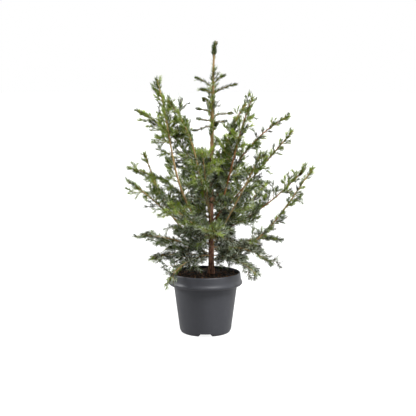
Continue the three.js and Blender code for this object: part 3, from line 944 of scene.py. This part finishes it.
def needle_tree():
    """Needles all round each shoot, that lean to its tip and turn up to the light. Each is a blade of four
    faces, with one edge at its root and a narrower one, crosswise, at its end."""
    tree, given, end = new_tree(
        "needles_on_shoots", Spacing="Float", Width="Float", End="Float", Lift="Float", Seed="Int",
    )
    add = partial(add_node, tree)
    curve = add("GeometryNodeMeshToCurve", {"Mesh": given["Geometry"]})
    rows = add("GeometryNodeCurveToPoints", {"Curve": curve}, mode="LENGTH")
    tree.links.new(given["Spacing"], rows.inputs["Length"])
    traits = {
        key: add("GeometryNodeInputNamedAttribute", {"Name": f"shoot_{key}"})
        for key in ("radius", "needle", "spread", "cover")
    }

    def chance(limits, turn):
        """A number for each needle between two limits, from a seed of its own."""
        low, high = limits
        seed = add("ShaderNodeMath", {0: given["Seed"], 1: turn}, operation="ADD")
        return add("FunctionNodeRandomValue", {"Min": low, "Max": high, "Seed": seed})

    shed = add("FunctionNodeCompare", {"A": chance(ANY_SHARE, 1), "B": traits["cover"]})
    kept = add("GeometryNodeDeleteGeometry", {"Geometry": rows, "Selection": shed})
    tangent, normal = rows.outputs["Tangent"], rows.outputs["Normal"]
    beside = add("ShaderNodeVectorMath", {0: tangent, 1: normal}, operation="CROSS_PRODUCT")
    roll = chance(ANY_TURN, 2)
    spread = add("ShaderNodeMath", {0: traits["spread"], 1: chance(SPREAD_RANGE, 3)}, operation="MULTIPLY")
    roll_cos, roll_sin, spread_cos, spread_sin = [
        add("ShaderNodeMath", {0: angle}, operation=part)
        for angle in (roll, spread) for part in ("COSINE", "SINE")
    ]
    across = add("ShaderNodeVectorMath", {0: normal, "Scale": roll_cos}, operation="SCALE")
    around = add("ShaderNodeVectorMath", {0: beside, 1: roll_sin, 2: across}, operation="MULTIPLY_ADD")
    outward = add("ShaderNodeVectorMath", {0: around, "Scale": spread_sin}, operation="SCALE")
    leaning = add("ShaderNodeVectorMath", {0: tangent, 1: spread_cos, 2: outward}, operation="MULTIPLY_ADD")
    rise = add("ShaderNodeCombineXYZ", {"Z": given["Lift"]})
    heading = add("ShaderNodeVectorMath", {0: leaning, 1: rise}, operation="ADD")
    spin = add("FunctionNodeAxisAngleToRotation", {"Axis": UP, "Angle": chance(ANY_TURN, 4)})
    turned = add("FunctionNodeAlignRotationToVector", {"Rotation": spin, "Vector": heading}, axis="Z")
    # A cone of three sides has four points. The first two become the root's edge and the others the end's.
    cone = add("GeometryNodeMeshCone", {"Vertices": 3, "Radius Top": 0.0})
    index = add("GeometryNodeInputIndex")
    parity = add("ShaderNodeMath", {0: index, 1: 2.0}, operation="MODULO")
    side = add("ShaderNodeMath", {0: parity, 1: 0.5}, operation="SUBTRACT")
    end_pair = add("ShaderNodeMath", {0: index, 1: 1.5}, operation="GREATER_THAN")
    root_pair = add("ShaderNodeMath", {0: 1.0, 1: end_pair}, operation="SUBTRACT")
    root_edge, end_edge = [
        add("ShaderNodeMath", {0: side, 1: pair}, operation="MULTIPLY") for pair in (root_pair, end_pair)
    ]
    corner = add("ShaderNodeCombineXYZ", {"X": root_edge, "Y": end_edge, "Z": end_pair})
    needle = add("GeometryNodeSetPosition", {"Geometry": cone, "Position": corner})
    length = add("ShaderNodeMath", {0: traits["needle"], 1: chance(LENGTH_RANGE, 5)}, operation="MULTIPLY")
    size = add("ShaderNodeCombineXYZ", {"X": given["Width"], "Y": given["End"], "Z": length})
    skin = add("ShaderNodeVectorMath", {0: around, "Scale": traits["radius"]}, operation="SCALE")
    seated = add("GeometryNodeSetPosition", {"Geometry": kept, "Offset": skin})
    planted = add("GeometryNodeInstanceOnPoints", {
        "Points": seated, "Instance": needle, "Rotation": turned, "Scale": size,
    })
    return close_tree(tree, given, end, planted)


def crumb_tree():
    """Angular crumbs strewn on a bed, each turned and sized at random."""
    tree, given, end = new_tree(
        "crumbs_on_bed", Density="Float", Smallest="Float", Largest="Float", Shape="Vector", Seed="Int",
    )
    add = partial(add_node, tree)
    level = add("GeometryNodeInputNormal")
    up = add("ShaderNodeSeparateXYZ", {"Vector": level})
    top = add("FunctionNodeCompare", {"A": result(up, "Z"), "B": LEVEL_ENOUGH})
    strewn = add("GeometryNodeDistributePointsOnFaces", {
        "Mesh": given["Geometry"], "Selection": top, "Density": given["Density"],
        "Seed": given["Seed"],
    })
    size = add("FunctionNodeRandomValue", {
        "Min": given["Smallest"], "Max": given["Largest"], "Seed": given["Seed"],
    })
    turn = add("FunctionNodeRandomValue", {
        "Min": (-CRUMB_TILT, -CRUMB_TILT, 0), "Max": (CRUMB_TILT, CRUMB_TILT, math.tau),
        "Seed": given["Seed"],
    }, data_type="FLOAT_VECTOR")
    ball = add("GeometryNodeMeshIcoSphere", {"Radius": 0.5, "Subdivisions": 1})
    crumb = add("GeometryNodeTransform", {"Geometry": ball, "Scale": given["Shape"]})
    laid = add("GeometryNodeInstanceOnPoints", {
        "Points": strewn, "Instance": crumb, "Rotation": turn, "Scale": size,
    })
    return close_tree(tree, given, end, laid)


def make_crumbs(bed):
    """Peat crumbs and shreds of bark on the compost."""
    tree = crumb_tree()
    materials = (bed.data.materials[0], composted_bark())
    for number, (name, material) in enumerate(zip(CRUMBS, materials)):
        piece = grown_mesh(
            name, bed.data.copy(), tree, Seed=SEED + number, Material=material, **CRUMBS[name],
        )
        finish_piece(piece, "soil")


def deal_tint(point, random):
    """The tint of a spray, by where in the crown it is."""
    share = outer_share(point)
    odds = np.array([blend(inner, outer, share) for _, inner, outer in TINTS.values()])
    return random.choice(list(TINTS), p=odds / odds.sum())


def deal_shares(needled, shoot, shares):
    """Puts a shoot under several tints, each with a share of its needles."""
    for tint, share in shares:
        needled[tint].append(shoot._replace(cover=share * shoot.cover, tuft=share * shoot.tuft))


def deal_needles(needled, spray, random):
    """Puts the shoots of one spray under its tint, a darker and a pale one, and the ends of some under a
    brighter one."""
    tint = deal_tint(spray[0].line[-1], random)
    for shoot in spray:
        tip = shoot.line[-1]
        if len(shoot.line) > LEAST_POINTS and random.random() < BRIGHT_TIPS * outer_share(tip):
            needled[BRIGHTER[tint]].append(shoot._replace(line=shoot.line[-BRIGHT_POINTS:], bare=0))
            shoot = shoot._replace(line=shoot.line[:-1], tuft=shoot.cover)
        # Pale needles, more of them inside the crown, paint highlights there besides the needles' white
        # bands.
        pale = PALE_SHARE * (1 - outer_share(tip))
        shares = ((tint, 1 - DARKER_SHARE - pale), (DARKER[tint], DARKER_SHARE), ("pale", pale))
        deal_shares(needled, shoot, shares)


def grow_sprays(stem, habit, crown, own, open_to, twigs, needled, random):
    """The twigs of a stem, each a spray with sprigs of its own."""
    for twig in side_shoots(stem, habit, crown, own, open_to, TWIG_THICKNESS, TWIG_COVER, random):
        spacing = SPRIG_HABIT.spacing * (1 + SPRIG_THINNING * outer_share(twig.line[-1]))
        sprig_habit = SPRIG_HABIT._replace(spacing=spacing)
        sprigs = side_shoots(twig, sprig_habit, crown, own, 0, SPRIG_THICKNESS, SPRIG_COVER, random)
        twigs += [twig, *sprigs]
        deal_needles(needled, [twig, *sprigs], random)


def limb_of(bough, line, face):
    """A bough's stem, how its shoots leave it, and the share that they leave open to the front."""
    open_to = 0
    if bough.bare and bearing_vector(bough.bearing) @ OPEN_SIDE > OPEN_BEARING:
        open_to = bough.bare + OPEN_BEYOND_BARE
    thick = max(LIMB_ROOT_SHARE * lengths_along(line)[-1], LIMB_TIP)
    stem = new_shoot(line, face, thick, LIMB_TIP, max(bough.bare + LIMB_BARE, open_to), LIMB_COVER)
    habit = BOUGH_HABIT if bough.bare else SKIRT_HABIT if bough.arrive < 0 else INNER_HABIT
    return stem, habit._replace(length=bough.full * habit.length), open_to


def grow_crown():
    """Every stem of the crown: boughs, twigs, and all that carry needles by tint."""
    lines = [bough_line(bough) for bough in ALL_BOUGHS]
    crown = Crown(lines)
    limbs, twigs = {}, []
    needled = {tint: [] for tint in TINTS}
    for own, (bough, line) in enumerate(zip(ALL_BOUGHS, lines)):
        random = np.random.default_rng((SEED, own))
        across = np.cross(UP, bearing_vector(bough.bearing))
        face = np.cross(line[-1] - line[0], across)
        face /= np.linalg.norm(face)
        if bough in LEADER_BOUGHS:
            thin = LEADER_TAPER * LEADER_THICKNESS
            stem = new_shoot(line, face, LEADER_THICKNESS, thin, LEADER_BARE, LEADER_TWIG_COVER)
            stem = stem._replace(needle=NEEDLE_LEADER)
            twigs.append(stem)
            habit, open_to = LEADER_HABIT, 0
            end = stem._replace(line=line[-LEADER_END_POINTS:], bare=0, cover=1)
            for shoot in (stem, end):
                deal_shares(needled, shoot, LEADER_TWIG_TINTS)
        else:
            stem, habit, open_to = limb_of(bough, line, face)
            limbs[bough.name] = stem
            end = stem._replace(line=line[-END_POINTS:], bare=0, cover=1)
            for shoot in (stem, end):
                deal_needles(needled, [shoot], random)
        grow_sprays(stem, habit, crown, own, open_to, twigs, needled, random)
    for low, high, habit in ((SPRAY_LOW, SPRAY_HIGH, TRUNK_HABIT), (SPUR_LOW, TRUNK_TOP, SPUR_HABIT)):
        random = np.random.default_rng((SEED, len(lines), round(low / MM)))
        stretch = np.array([trunk_axis(height) for height in np.linspace(low, high, STRETCH_POINTS)])
        stem = new_shoot(stretch, bearing_vector(0), trunk_radius(low), trunk_radius(high))
        grow_sprays(stem, habit, crown, None, 0, twigs, needled, random)
    return limbs, twigs, needled


def trunk_lines():
    """The trunk's path and its heights, and the leading shoot's tip that goes on from it."""
    flare = np.linspace(TRUNK_FOOT, FLARE_TOP, FLARE_RINGS)
    heights = np.concatenate((flare, np.linspace(STEM_FOOT, TRUNK_TOP, STEM_RINGS)))
    line = np.array([trunk_axis(height) for height in heights])
    end = np.array((LEADER_TIP_X, 0, LEADER_TIP_HEIGHT))
    middle = (line[-1] + end) / 2
    middle[0] = end[0] - LEADER_TIP_BEND
    tip = evenly_spaced(bezier(line[-1], middle, end), LEADER_TIP_STEP)
    return line, heights, tip


def make_stems(limbs, twigs):
    """The barked trunk, boughs and twigs, which stand for every solid of the tree."""
    tree = bark_tree()
    line, heights, tip = trunk_lines()
    whole = np.concatenate((line, tip[1:]))
    mesh = lines_mesh("trunk_line", [new_shoot(whole, UP, 1, 1)])
    radii = [trunk_radius(height) for height in heights] + [LEADER_TIP_RADIUS] * (len(tip) - 1)
    mesh.attributes["shoot_radius"].data.foreach_set("value", radii)
    trunk = grown_mesh("barked_trunk", mesh, tree, Material=trunk_bark(), **TRUNK_SKIN)
    finish_piece(trunk, "bark", "trunk")
    for kind, colours in LIMB_BARKS.items():
        names = [name for name in limbs if (name in RED_BOUGHS) == (kind == "red")]
        mesh = lines_mesh(f"{kind}_bough_lines", [limbs[name] for name in names])
        bark = limb_bark(kind, *colours)
        boughs = grown_mesh(f"barked_boughs_{kind}", mesh, tree, Material=bark, **BOUGH_SKIN)
        solids = [f"bough_{bough.name}" for bough in MAIN_BOUGHS if bough.name in names]
        finish_piece(boughs, "bark", *solids)
    mesh = lines_mesh("twig_lines", twigs)
    shoots = grown_mesh("spruce_twigs", mesh, tree, Material=twig_bark(), **TWIG_SKIN)
    masses = [f"mass_{bough.name}" for bough in ALL_BOUGHS]
    finish_piece(shoots, "bark", "mass_leader_tip", *masses)


def needle_leader(needled):
    """Puts needles on the leading shoot: rows on its stem, and the plume at its top."""
    line, heights, tip = trunk_lines()
    for low, high, cover in LEADER_COVER:
        stem = line[(heights > low) & (heights < high)]
        row = new_shoot(stem, UP, trunk_radius(low), trunk_radius(high), 0, cover, cover)
        row = row._replace(needle=NEEDLE_LEADER, spread=SPREAD_LEADER)
        for tint in LEADER_STEM_TINTS:
            needled[tint].append(row)
    stem = np.concatenate((line[heights > PLUME_FOOT], tip[1:-PLUME_SHORT_BY]))
    plume = new_shoot(stem, UP, PLUME_RADIUS, PLUME_RADIUS, 0, 1)
    for tint in PLUME_TINTS:
        needled[tint].append(plume._replace(needle=NEEDLE_PLUME, spread=SPREAD_PLUME))


def batches_of(shoots):
    """Shoots in groups that carry few enough needles for one piece each."""
    batches = [[]]
    count = 0
    for shoot in shoots:
        count += cover_along(shoot)[1].mean() * lengths_along(shoot.line)[-1] / NEEDLE_SPACING
        if count > NEEDLES_PER_PIECE:
            batches.append([])
            count = 0
        batches[-1].append(shoot)
    return batches


def make_needles(needled):
    """The needles, as pieces of one tint each."""
    tree = needle_tree()
    needle_leader(needled)
    sizes = {"Spacing": NEEDLE_SPACING, "Width": NEEDLE_WIDTH, "End": NEEDLE_END, "Lift": NEEDLE_LIFT}
    for number, (tint, shoots) in enumerate(needled.items()):
        material = spruce_needles(tint, TINTS[tint][0])
        for batch, group in enumerate(batches_of(shoots)):
            name = f"needles_{tint}_{batch + 1}"
            seed = SEED + SEEDS_PER_TINT * number + batch
            piece = grown_mesh(name, lines_mesh(name, group), tree, Seed=seed, Material=material, **sizes)
            finish_piece(piece, "needles")


def aim(holder, place, target):
    """Puts a light or a camera in its place and turns it to a target."""
    holder.location = place
    holder.rotation_euler = (Vector(target) - Vector(place)).to_track_quat("-Z", "Y").to_euler()


def add_sun(name, place, strength):
    """A soft sun that shines from a place to the foot of the plant."""
    light = bpy.data.lights.new(name, "SUN")
    light.angle = math.radians(SUN_SOFTNESS)
    light.energy = strength
    aim(add_object(name, light), place, (0, 0, 0))


def make_studio():
    """White paper floor, a white surround, brighter behind the plant and at its right, and two suns."""
    reach = FLOOR_REACH
    corners = [(-reach, -reach, 0), (reach, -reach, 0), (reach, reach, 0), (-reach, reach, 0)]
    paper = mesh_of("studio_floor", corners, [(0, 1, 2, 3)], studio_floor())
    add_object("studio_floor", paper)
    world = bpy.data.worlds.new("white_studio")
    world.use_nodes = True
    tree = world.node_tree
    add = partial(add_node, tree)
    side = add("ShaderNodeTexCoord")
    away = add("ShaderNodeSeparateXYZ", {"Vector": result(side, "Generated")})
    behind = add("ShaderNodeMapRange", {
        "Value": result(away, "Y"), "From Min": BACK_RANGE[0], "From Max": BACK_RANGE[1],
        "To Min": FRONT_LIGHT, "To Max": BACK_LIGHT,
    })
    right = add("ShaderNodeMapRange", {
        "Value": result(away, "X"), "From Min": RIGHT_RANGE[0], "From Max": RIGHT_RANGE[1],
        "To Max": RIGHT_LIGHT,
    })
    surround = add("ShaderNodeMath", {0: behind, 1: right}, operation="ADD")
    ray = add("ShaderNodeLightPath")
    strength = add("ShaderNodeMapRange", {
        "Value": result(ray, "Is Camera Ray"), "To Min": surround, "To Max": 1.0,
    })
    connect(tree.nodes["Background"], {"Color": linear("#ffffff"), "Strength": strength})
    bpy.context.scene.world = world
    bpy.context.scene.view_settings.view_transform = "Standard"
    add_sun("key_right", KEY_PLACE, KEY_LIGHT)
    add_sun("fill_left", FILL_PLACE, FILL_LIGHT)


def make_camera():
    """The photograph's view: level with the upper crown, three metres away, looking down a little."""
    camera = bpy.data.cameras.new("photo_view")
    camera.sensor_width = SENSOR_WIDTH
    camera.lens = LENS
    holder = add_object("photo_view", camera)
    aim(holder, VIEWPOINT, (VIEWPOINT[0], 0, VIEW_HEIGHT))
    bpy.context.scene.camera = holder


make_pot()
make_crumbs(make_soil())
limbs, twigs, needled = grow_crown()
make_stems(limbs, twigs)
make_needles(needled)
make_studio()
make_camera()
